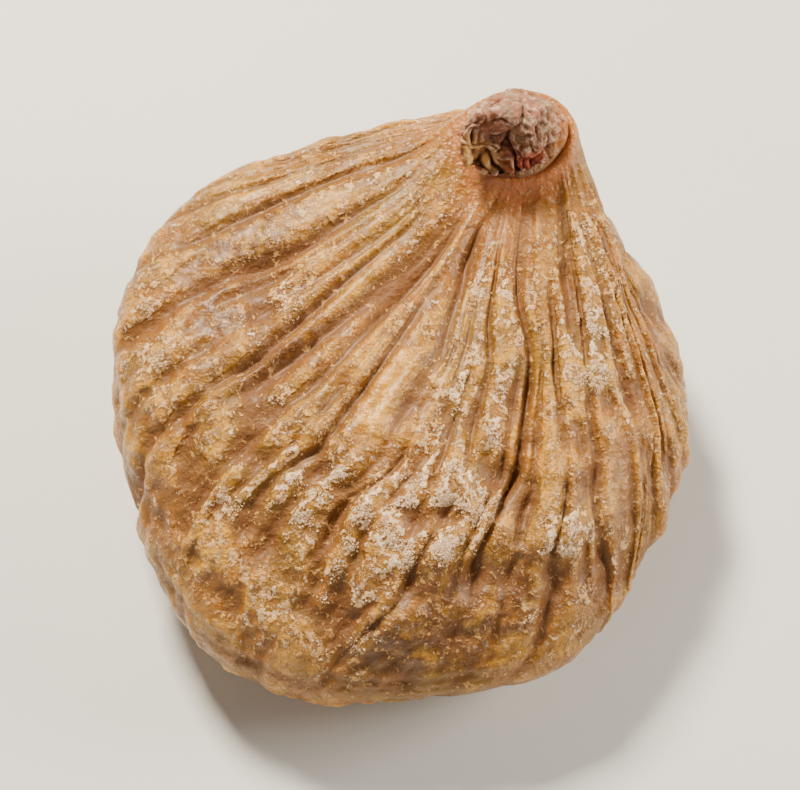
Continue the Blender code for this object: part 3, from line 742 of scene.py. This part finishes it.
def waxy_skin():
    """Translucent honey-tan skin, brown in the creases with painted shade, paler on the crests with a
    painted highlight, and frosted with sugar on the ridges.
    """
    material, tree, shader = new_finish("waxy_fig_skin", {
        "Specular IOR Level": 0.45, "Coat Weight": 0.14, "Coat Roughness": 0.30,
        "Subsurface Weight": 0.25, "Subsurface Radius": (1.0, 0.55, 0.18), "Subsurface Scale": 0.0010})
    place, valley, bloom, brown, collar = painted(tree)
    pleat = node(tree, "Attribute", attribute_name="pleat_place").outputs["Vector"]

    honey = (0.36, 0.138, 0.011, 1)
    cream_and_highlight = (0.74, 0.38, 0.050, 1)
    olive = (0.30, 0.150, 0.013, 1)
    amber_and_crease_shade = (0.17, 0.066, 0.009, 1)
    rust_crease_shade = (0.17, 0.058, 0.009, 1)
    brown_and_shade = (0.15, 0.058, 0.016, 1)
    collar_red = (0.54, 0.175, 0.065, 1)
    crumb = (0.74, 0.40, 0.12, 1)
    snow = (0.96, 0.74, 0.54, 1)
    crust_rough = (0.32, 0.32, 0.32, 1)
    valley_rough = (0.65, 0.65, 0.65, 1)
    spark_rough = (0.12, 0.12, 0.12, 1)

    colour = laid_over(tree, spots(tree, place, OLIVE_CLOUDS), honey, olive)
    # Paler crests: the skin's own paler spots, and a painted highlight on the crests of the pleats.
    pale = times(tree, span(tree, valley, *CREST_HIGHLIGHT), spots(tree, place, PALE_SPOTS))
    colour = laid_over(tree, pale, colour, cream_and_highlight)
    streak = speckle(tree, stretched(tree, pleat, STREAKS), 1.0, 4.0)
    colour = laid_over(tree, span(tree, streak, *STREAK_AMBER), colour, amber_and_crease_shade)
    # Orange-brown in the valleys: the skin's redder brown there, and painted shade.
    colour = laid_over(tree, span(tree, valley, *VALLEY_SHADE_AMBER), colour, amber_and_crease_shade)
    # Brown mottling: the skin's brown patches, and painted shade where some of them lie in creases.
    brown_mottle_and_shade = times(tree, brown, spots(tree, place, BROWN_MOTTLE))
    colour = laid_over(tree, brown_mottle_and_shade, colour, brown_and_shade)
    colour = laid_over(tree, times(tree, collar, COLLAR_SHARE), colour, collar_red)
    # Red-brown in the deepest creases: the skin's own colour, darkened as painted shade.
    colour = laid_over(tree, span(tree, valley, *VALLEY_SHADE_RUST), colour, rust_crease_shade)

    # Sugar: a crumbly lace, thick where bloom and clumps meet, with pits darkened by painted shade,
    # white tops, and glinting specks of white sugar that are partly painted glints
    curl = node(tree, "Math", {0: speckle(tree, place, *SUGAR_CURLS), 1: 0.5}, operation="SUBTRACT")
    curl = node(tree, "Math", {0: curl.outputs[0]}, operation="ABSOLUTE").outputs[0]
    lace = span(tree, curl, *CURL_LACE)
    crumbs = laid_over(tree, LACE_SHARE, speckle(tree, place, *SUGAR_CRUMBS), lace)
    cover = times(tree, bloom, span(tree, valley, *VALLEY_SUGAR))
    cover = times(tree, cover, span(tree, brown, *BROWN_SUGAR))
    drift = times(tree, cover, spots(tree, place, SUGAR_CLUMPS))
    reach = times(tree, crumbs, span(tree, drift, *DRIFT_REACH), "ADD")
    crust = span(tree, reach, *CRUST_EDGE)
    # Pits between the sugar crumbs: the brown skin between them, darkened as painted shade.
    pits = times(tree, span(tree, drift, *DRIFT_PIT_SHADE), span(tree, crust, 1.0, 0.0))
    colour = laid_over(tree, times(tree, pits, PIT_SHADE_SHARE), colour, brown_and_shade)
    colour = laid_over(tree, times(tree, crust, CRUST_SHARE), colour, crumb)
    snowy = times(tree, span(tree, crumbs, *CRUMB_SNOW), span(tree, drift, *DRIFT_SNOW))
    colour = laid_over(tree, snowy, colour, snow)
    # Glinting specks on thick sugar: white crystals, and painted glints standing in for highlights.
    sugar_glints = times(tree, spots(tree, place, SUGAR_GLINTS), span(tree, drift, *DRIFT_GLINTS))
    colour = laid_over(tree, sugar_glints, colour, snow)
    tree.links.new(colour, shader.inputs["Base Color"])

    rough = laid_over(tree, crust, spots(tree, place, WAX_ROUGHNESS), crust_rough)
    rough = laid_over(tree, span(tree, valley, *VALLEY_DULL), rough, valley_rough)
    rough = laid_over(tree, sugar_glints, rough, spark_rough)
    tree.links.new(rough, shader.inputs["Roughness"])

    along = node(tree, "SeparateXYZ", {0: pleat}).outputs[2]
    thread = speckle(tree, stretched(tree, pleat, THREADS), 1.0, 3.0)
    thread = times(tree, thread, span(tree, along, *THREADS_FROM_NECK))
    crumple = speckle(tree, place, *SKIN_CRUMPLE)
    gritty = times(tree, crumbs, span(tree, cover, *COVER_GRIT))
    heights = [(thread, 0.25), (crumple, 1.5), (crust, 0.55), (gritty, 0.9), (sugar_glints, 0.5)]
    raised(tree, shader, heights, SKIN_BUMP)
    return material


fig_skin.data.materials.append(waxy_skin())
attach(fig_skin, "root")
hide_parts("fruit")

# The stem stub: the short woody stalk the fig hung by, bent forwards and snapped off. Bark wraps
# its back and sides, and the break shows dark, crinkled wood. It grows out of the neck.

# A level runs from 0 in the middle of the break to 1 in the socket.
# Rings: level, centre x, y, z, half width, half depth, lean to the front, lean to the left
STEM_RINGS = [
    (0.00, 7.2, 16.3, 23.8, 0.0, 0.0, 72, -6),
    (0.10, 7.15, 16.1, 23.85, 1.4, 1.3, 72, -6),
    (0.20, 7.1, 15.8, 23.95, 2.75, 2.6, 72, -6),
    (0.30, 7.3, 16.1, 24.0, 3.25, 3.1, 68, -4),
    (0.43, 7.9, 17.0, 23.7, 3.5, 3.25, 54, 0),
    (0.58, 8.5, 17.9, 22.9, 3.6, 3.15, 38, 4),
    (0.74, 8.7, 18.25, 21.8, 3.5, 2.75, 22, 6),
    (0.86, 8.75, 18.4, 21.27, 3.2, 2.45, 20, 6),
    (1.00, 8.75, 18.4, 21.27, 0.0, 0.0, 20, 6),
]
STEM_COLUMNS = 176
STEM_ROWS = 120
STEM_CRINKLE = (0.5, 0.3)
# Flutes along the bark: how many go round, their turn in degrees and share; height, start, rise
FLUTES = [(9, 40, 1.0), (14, 200, 0.6)]
STEM_FLUTE = 0.16
FLUTE_START = 0.20
FLUTE_RISE = 0.2
STEM_FADE = [(0.00, 0.6), (0.10, 1.0), (0.40, 0.9), (0.60, 0.5), (0.72, 0.0)]

# The break: folds and clefts of torn wood, deep pits between them and fine shreds. Each row says how
# close they lie, per millimetre, their depth, and how wide they are or where they begin in the noise
TORN_WANDER = (0.8, 0.6)
TORN_FOLD = (0.36, 0.60, 0.24)
TORN_CLEFT = (0.70, 0.26, 0.28)
TORN_PIT = (0.42, 0.70, 0.15)
TORN_SHRED = (1.8, 0.24)
FACE_FADE = [(0.00, 1.0), (0.24, 1.0), (0.36, 0.55), (0.52, 0.25), (0.66, 0.0)]
BARK_CRACK = (1.1, 0.22, 0.30)
CRACK_STRETCH = (1, 1, 0.5)
BARK_GRAIN = (2.2, 0.09)
BARK_FADE = [(0.22, 0.0), (0.32, 1.0), (0.58, 0.8), (0.72, 0.0)]
# The foot swells to meet the collar: height at each level, and lumps on an even part
STUB_FOOT = [(0.54, 0.0), (0.68, 0.35), (0.82, 0.60), (0.90, 0.0)]
FOOT_EVEN = 0.8
FOOT_LUMP = (0.45, 0.6)
STUB_ASIDE = {"foot": 5, "grain": 15, "cleft": 35, "pit": 50, "shred": 70, "wander": (10, 20, 30)}
STUB_VALLEY_PASSES = 12
STUB_VALLEY_DEPTH = 0.26
# The smooth cap, which is torn less, the ochre and red wood, with painted shade in the red at the front
# right, and the neck's skin that still clings to the stub: turn, spread, level, spread, share
CAP_PATCHES = [(80, 60, 0.30, 0.14, 1.0), (20, 30, 0.34, 0.10, 0.6)]
CAP_CALM = 0.45
OCHRE_PATCHES = [(225, 42, 0.15, 0.09, 1.1), (185, 28, 0.19, 0.07, 0.9)]
RED_AND_SHADE_PATCHES = [(318, 36, 0.26, 0.16, 1.6), (205, 50, 0.33, 0.05, 0.9)]
CLINGING_SKIN = [(345, 55, 0.68, 0.20, 1.3), (120, 90, 0.80, 0.14, 0.8)]


def clefts(places, frequency, depth, width):
    """Sharp clefts along the lines where soft noise changes sign."""
    return -depth * np.clip(1 - np.abs(lumps(places, frequency)) / width, 0, 1) ** 1.5


def cap_share(turn, level):
    """How much of the smoother, pinkish bark over the top of the stub there is."""
    return np.clip(patches(turn, level, CAP_PATCHES), 0, 1)


def snapped_stub(levels, columns):
    """Points of the stub and its relief: flutes along the bark and a torn, crinkled end."""
    turn = np.arange(columns) * 360 / columns + 0 * levels[:, None]
    level = levels[:, None] + 0 * turn
    body = loft(STEM_RINGS, level, turn)
    flutes = sum(share * np.sin(np.radians(turn * count + start)) for count, start, share in FLUTES)
    bark = STEM_FLUTE * flutes * np.clip((level - FLUTE_START) / FLUTE_RISE, 0, 1)
    crinkle = STEM_CRINKLE[1] * lumps(body, STEM_CRINKLE[0])
    relief = (bark + crinkle) * fade(level, STEM_FADE)

    rate, reach = TORN_WANDER
    wander = [lumps(body + aside, rate) for aside in STUB_ASIDE["wander"]]
    wander = body + reach * np.stack(wander, axis=-1)
    fold = clefts(wander, *TORN_FOLD)
    cleft = clefts(wander + STUB_ASIDE["cleft"], *TORN_CLEFT)
    rate, depth, start = TORN_PIT
    pit = -depth * np.clip(lumps(wander + STUB_ASIDE["pit"], rate) - start, 0, 1)
    shred = TORN_SHRED[1] * lumps(wander + STUB_ASIDE["shred"], TORN_SHRED[0])
    calm = 1 - CAP_CALM * cap_share(turn, level)
    torn = (fold + cleft + pit + shred) * fade(level, FACE_FADE) * calm
    crack = clefts(body * CRACK_STRETCH, *BARK_CRACK)
    grain = BARK_GRAIN[1] * lumps(body + STUB_ASIDE["grain"], BARK_GRAIN[0])
    foot = FOOT_EVEN + FOOT_LUMP[1] * lumps(body + STUB_ASIDE["foot"], FOOT_LUMP[0])
    relief = relief + torn + (crack + grain) * fade(level, BARK_FADE) + fade(level, STUB_FOOT) * foot
    return body, relief, turn, level


body, relief, turn, level = snapped_stub(np.linspace(0, 1, STEM_ROWS + 1), STEM_COLUMNS)
stub_points = body + outward(body) * relief[..., None] - drop
stub_valley = np.clip((smoothed(relief, STUB_VALLEY_PASSES) - relief) / STUB_VALLEY_DEPTH, -1, 1)
cap = cap_share(turn, level)
ochre = np.clip(patches(turn, level, OCHRE_PATCHES), 0, 1)
red = np.clip(patches(turn, level, RED_AND_SHADE_PATCHES), 0, 1)

stem_stub, row, column = wrapped_drum("stem_stub", stub_points)
paint(stem_stub, "tone", [(stub_valley * 0.5 + 0.5)[row, column], cap[row, column],
                          ochre[row, column], red[row, column]])
clinging = np.clip(patches(turn, level, CLINGING_SKIN), 0, 1)[row, column]
paint(stem_stub, "clinging", [clinging, clinging, clinging, np.ones_like(clinging)])

# Patterns on the bark, and what it takes from a value, given as for the skin
MAUVE_CLOUDS = (700, 4.0, 0.55, 0.40, 0.60)
CAP_BLOTCHES = (620, 3.0, 0.55, 0.38, 0.62, 0.35, 0.95)
ASH_CLOUDS = (390, 3.0, 0.55, 0.48, 0.60, 0, 0.75)
SKIN_SCRAPS = (500, 3.0, 0.55, 0.35, 0.55, 0.5, 1.0)
DUST_SPECKS = (1300, 4.0, 0.65, 0.46, 0.60)
BARK_ROUGHNESS = (1500, 3.0, 0.55, 0.3, 0.7, 0.50, 0.85)
BARK_PEBBLES = (3800, 3.0)
BARK_FIBRES = (2600, 2600, 900)
BARK_CREST = (0.56, 0.36)
CREST_OCHRE = (0.0, 1.0, 0.3, 1.0)
STUB_CREVICE_SHADE = (0.56, 0.86, 0, 0.70)
RED_SHARE = 0.90
DUST_SHARE = 0.48
BARK_BUMP = 0.00028


def dry_bark():
    """Purplish brown bark with a dusty top, and dark torn wood with ochre and red in it, with painted
    shade in its crevices and in part of the red.
    """
    material, tree, shader = new_finish("dry_stem_bark", {"Specular IOR Level": 0.4})
    place, valley, cap, ochre, red = painted(tree)

    wood = (0.22, 0.070, 0.022, 1)
    mauve = (0.30, 0.135, 0.085, 1)
    pink = (0.38, 0.165, 0.115, 1)
    ash = (0.26, 0.18, 0.105, 1)
    dust = (0.74, 0.55, 0.43, 1)
    neck_skin = (0.42, 0.150, 0.030, 1)
    straw = (0.76, 0.42, 0.110, 1)
    wine_red_and_shade = (0.26, 0.030, 0.010, 1)
    crevice_shade = (0.050, 0.013, 0.006, 1)

    crest = span(tree, valley, *BARK_CREST)
    colour = laid_over(tree, spots(tree, place, MAUVE_CLOUDS), wood, mauve)
    colour = laid_over(tree, times(tree, cap, spots(tree, place, CAP_BLOTCHES)), colour, pink)
    colour = laid_over(tree, spots(tree, place, ASH_CLOUDS), colour, ash)
    # Dark red on the stub: red wood, and at its front right partly painted shade next to the collar.
    colour = laid_over(tree, times(tree, red, RED_SHARE), colour, wine_red_and_shade)
    colour = laid_over(tree, times(tree, ochre, span(tree, crest, *CREST_OCHRE)), colour, straw)
    clinging = node(tree, "Attribute", attribute_name="clinging").outputs["Fac"]
    scraps = times(tree, clinging, spots(tree, place, SKIN_SCRAPS))
    colour = laid_over(tree, scraps, colour, neck_skin)
    dusty = times(tree, spots(tree, place, DUST_SPECKS), crest)
    colour = laid_over(tree, times(tree, dusty, DUST_SHARE), colour, dust)
    # Near-black in the stub's crevices: painted shade.
    colour = laid_over(tree, span(tree, valley, *STUB_CREVICE_SHADE), colour, crevice_shade)
    tree.links.new(colour, shader.inputs["Base Color"])
    tree.links.new(spots(tree, place, BARK_ROUGHNESS), shader.inputs["Roughness"])
    fibre = speckle(tree, stretched(tree, place, BARK_FIBRES), 1.0, 4.0)
    pebble = speckle(tree, place, *BARK_PEBBLES)
    raised(tree, shader, [(fibre, 0.7), (pebble, 0.5)], BARK_BUMP)
    return material


stem_stub.data.materials.append(dry_bark())
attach(stem_stub, "root")
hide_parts("stem")

# The sugar bloom: tiny crystals of the fig's own sugar that came out through the skin as it
# dried. They sit in clumps on the crests of the pleats, nearly half of each sunk in the skin.
GRAINS = 12000
GRAIN_SEED = 23
GRAIN_RADIUS = (0.03, 0.11)
SMALL_GRAIN_POWER = 2.6
GRAIN_STRETCH = (0.5, 1.4)
GRAIN_JITTER = 0.25
GRAIN_LIFT = 0.2
GRAIN_TIP = -1.3
# Clumps: how close they and finer ones lie, per millimetre, the finer ones' share, and an even part
CLUMP = (0.75, 1.9, 0.25, 0.05)
CLUMP_POWER = 1.5
# Grains need this much bloom, grow fewer into the valleys, and stay this high above the floor
GRAIN_BLOOM = 0.50
GRAIN_ON_LEVEL = 0.55
GRAIN_VALLEY_LOSS = 1.6
GRAIN_MOST = 1.4
GRAIN_FREE_HEIGHT = 1.0
SUGAR_DULLNESS = (2500, 2.0, 0.55, 0.40, 0.65, 0, 0.5)
SUGAR_ROUGHNESS = (5000, 2.0, 0.55, 0.3, 0.7, 0.25, 0.55)


def crystal():
    """Corners and faces of one grain: a four-sided splinter, pointed at both ends."""
    bpy.ops.mesh.primitive_cone_add(vertices=4, radius1=1, depth=1, end_fill_type="TRIFAN")
    shape = bpy.context.object
    for vert in shape.data.vertices:
        if vert.co.z < 0 and vert.co.xy.length < 0.1:
            vert.co.z = GRAIN_TIP
    corners = np.array([vert.co[:] for vert in shape.data.vertices])
    faces = np.array([face.vertices[:] for face in shape.data.polygons])
    bpy.data.meshes.remove(shape.data)
    return corners, faces


def sugar_places(points, density, count, rng):
    """Places on the skin and their outward directions, drawn thicker where the density is high."""
    out = outward(points)
    around = np.linalg.norm(np.roll(points, -1, axis=1) - points, axis=-1)
    along = np.linalg.norm(np.gradient(points, axis=0), axis=-1)
    weight = (density * around * along).ravel()
    chosen = rng.choice(weight.size, size=count, p=weight / weight.sum())
    r, c = np.unravel_index(chosen, density.shape)
    r = np.clip(r, 1, points.shape[0] - 2)
    beside = np.roll(points, -1, axis=1)
    share = rng.random((count, 2, 1))
    spot = points[r, c] + (beside[r, c] - points[r, c]) * share[:, 0]
    spot = spot + (points[r + 1, c] - points[r, c]) * share[:, 1]
    return spot, out[r, c], r, c


def turned(rng, count):
    """Random rotations, one 3 by 3 matrix for each grain."""
    q = rng.normal(size=(count, 4))
    w, x, y, z = (q / np.linalg.norm(q, axis=1, keepdims=True)).T
    return np.stack([
        np.stack([1 - 2 * (y * y + z * z), 2 * (x * y - z * w), 2 * (x * z + y * w)], axis=1),
        np.stack([2 * (x * y + z * w), 1 - 2 * (x * x + z * z), 2 * (y * z - x * w)], axis=1),
        np.stack([2 * (x * z - y * w), 2 * (y * z + x * w), 1 - 2 * (x * x + y * y)], axis=1),
    ], axis=1)


rng = np.random.default_rng(GRAIN_SEED)
coarse, fine, share, even = CLUMP
clump = np.clip(lumps(skin, coarse) + share * lumps(skin, fine) + even, 0, 1) ** CLUMP_POWER
thick = np.clip(bloom - GRAIN_BLOOM, 0, 1) ** CLUMP_POWER * clump
thick = thick * np.clip(GRAIN_ON_LEVEL - valley * GRAIN_VALLEY_LOSS, 0, GRAIN_MOST)
thick[skin[..., 2] < GRAIN_FREE_HEIGHT] = 0
seats, out, r, c = sugar_places(skin, thick, GRAINS, rng)
corners, faces = crystal()
smallest, largest = GRAIN_RADIUS
size = smallest + (largest - smallest) * rng.random(GRAINS) ** SMALL_GRAIN_POWER
shape = rng.uniform(*GRAIN_STRETCH, size=(GRAINS, 1, 3)) * size[:, None, None]
jitter = 1 + rng.uniform(-GRAIN_JITTER, GRAIN_JITTER, size=(GRAINS, len(corners), 1))
grain_points = np.einsum("gij,gkj->gki", turned(rng, GRAINS), corners[None] * shape * jitter)
grain_points = grain_points + (seats + out * (size * GRAIN_LIFT)[:, None])[:, None, :]
grain_faces = (faces[None] + np.arange(GRAINS)[:, None, None] * len(corners)).reshape(-1, 3)
grain_mesh = bpy.data.meshes.new("sugar_bloom")
grain_mesh.from_pydata(grain_points.reshape(-1, 3) * MM, [], grain_faces.tolist())
sugar_bloom = bpy.data.objects.new("sugar_bloom", grain_mesh)
bpy.context.collection.objects.link(sugar_bloom)
tint = np.repeat(np.clip(bloom[r, c] * (0.5 + rng.random(GRAINS)), 0, 1), len(corners))
paint(sugar_bloom, "tint", [tint, tint, tint, np.ones_like(tint)])


def crystal_sugar():
    """Dull, slightly see-through sugar, from white to honey."""
    material, tree, shader = new_finish("fig_sugar", {
        "Subsurface Weight": 0.35, "Subsurface Radius": (1.0, 0.8, 0.6), "Subsurface Scale": 0.0003})
    honey_sugar = (0.64, 0.37, 0.15, 1)
    white_sugar = (0.95, 0.72, 0.50, 1)
    dull_sugar = (0.70, 0.42, 0.21, 1)
    tint = node(tree, "Attribute", attribute_name="tint").outputs["Fac"]
    place = node(tree, "TexCoord").outputs["Object"]
    colour = laid_over(tree, span(tree, tint, 0.0, 1.0), honey_sugar, white_sugar)
    colour = laid_over(tree, spots(tree, place, SUGAR_DULLNESS), colour, dull_sugar)
    tree.links.new(colour, shader.inputs["Base Color"])
    tree.links.new(spots(tree, place, SUGAR_ROUGHNESS), shader.inputs["Roughness"])
    return material


sugar_bloom.data.materials.append(crystal_sugar())
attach(sugar_bloom, "root")

# The studio: a plain pale floor under the fig, a warm soft lamp above and behind it, a weaker one
# at its right, a wide one in front that fills the shade, and an even pale surround.
FLOOR_SIZE = 3.0
FLOOR_COLOUR = (0.77, 0.79, 0.82, 1)
FLOOR_SHADE = 0.97
FLOOR_GRAIN = (900, 3.0)
# Square lamps that look at the fig: name, place, size, power, colour
LAMP_TARGET = Vector((0, 0, 0.012))
LAMPS = [
    ("key", (-0.08, 0.14, 0.22), 0.06, 2.00, (1.0, 0.87, 0.66)),
    ("fill", (-0.14, -0.22, 0.12), 0.22, 0.24, (1.0, 0.90, 0.74)),
    ("side", (0.24, 0.02, 0.12), 0.12, 0.95, (1.0, 0.90, 0.74)),
]
SURROUND_COLOUR = (0.95, 0.87, 0.74, 1)
SURROUND_STRENGTH = 0.11

bpy.ops.mesh.primitive_plane_add(size=FLOOR_SIZE, location=(0, 0, 0))
floor = bpy.context.object
floor.name = "floor"
material, tree, shader = new_finish("floor_card", {"Roughness": 0.7})
place = node(tree, "TexCoord").outputs["Object"]
shaded = tuple(value * FLOOR_SHADE for value in FLOOR_COLOUR[:3]) + (1,)
colour = laid_over(tree, speckle(tree, place, *FLOOR_GRAIN), FLOOR_COLOUR, shaded)
tree.links.new(colour, shader.inputs["Base Color"])
floor.data.materials.append(material)

for name, place, size, power, colour in LAMPS:
    light = bpy.data.lights.new(name, "AREA")
    light.energy = power
    light.size = size
    light.color = colour
    lamp = bpy.data.objects.new(name, light)
    bpy.context.collection.objects.link(lamp)
    lamp.location = place
    lamp.rotation_euler = (LAMP_TARGET - Vector(place)).to_track_quat("-Z", "Y").to_euler()

world = bpy.data.worlds.new("surround")
bpy.context.scene.world = world
world.use_nodes = True
world.node_tree.nodes["Background"].inputs[0].default_value = SURROUND_COLOUR
world.node_tree.nodes["Background"].inputs[1].default_value = SURROUND_STRENGTH

# The camera looks down on the fig from in front, as the photograph does
CAMERA_HEIGHT_ANGLE = 62
CAMERA_DISTANCE = 0.1735
CAMERA_LENS = 100
CAMERA_SENSOR = 36
CAMERA_TARGET = Vector((0, 0, 0.011))
angle = math.radians(CAMERA_HEIGHT_ANGLE)
back = Vector((0, -math.cos(angle), math.sin(angle)))
camera = bpy.data.objects.new("camera", bpy.data.cameras.new("camera"))
bpy.context.collection.objects.link(camera)
camera.data.lens = CAMERA_LENS
camera.data.sensor_width = CAMERA_SENSOR
camera.location = CAMERA_TARGET + back * CAMERA_DISTANCE
camera.rotation_euler = (-back).to_track_quat("-Z", "Y").to_euler()
bpy.context.scene.camera = camera
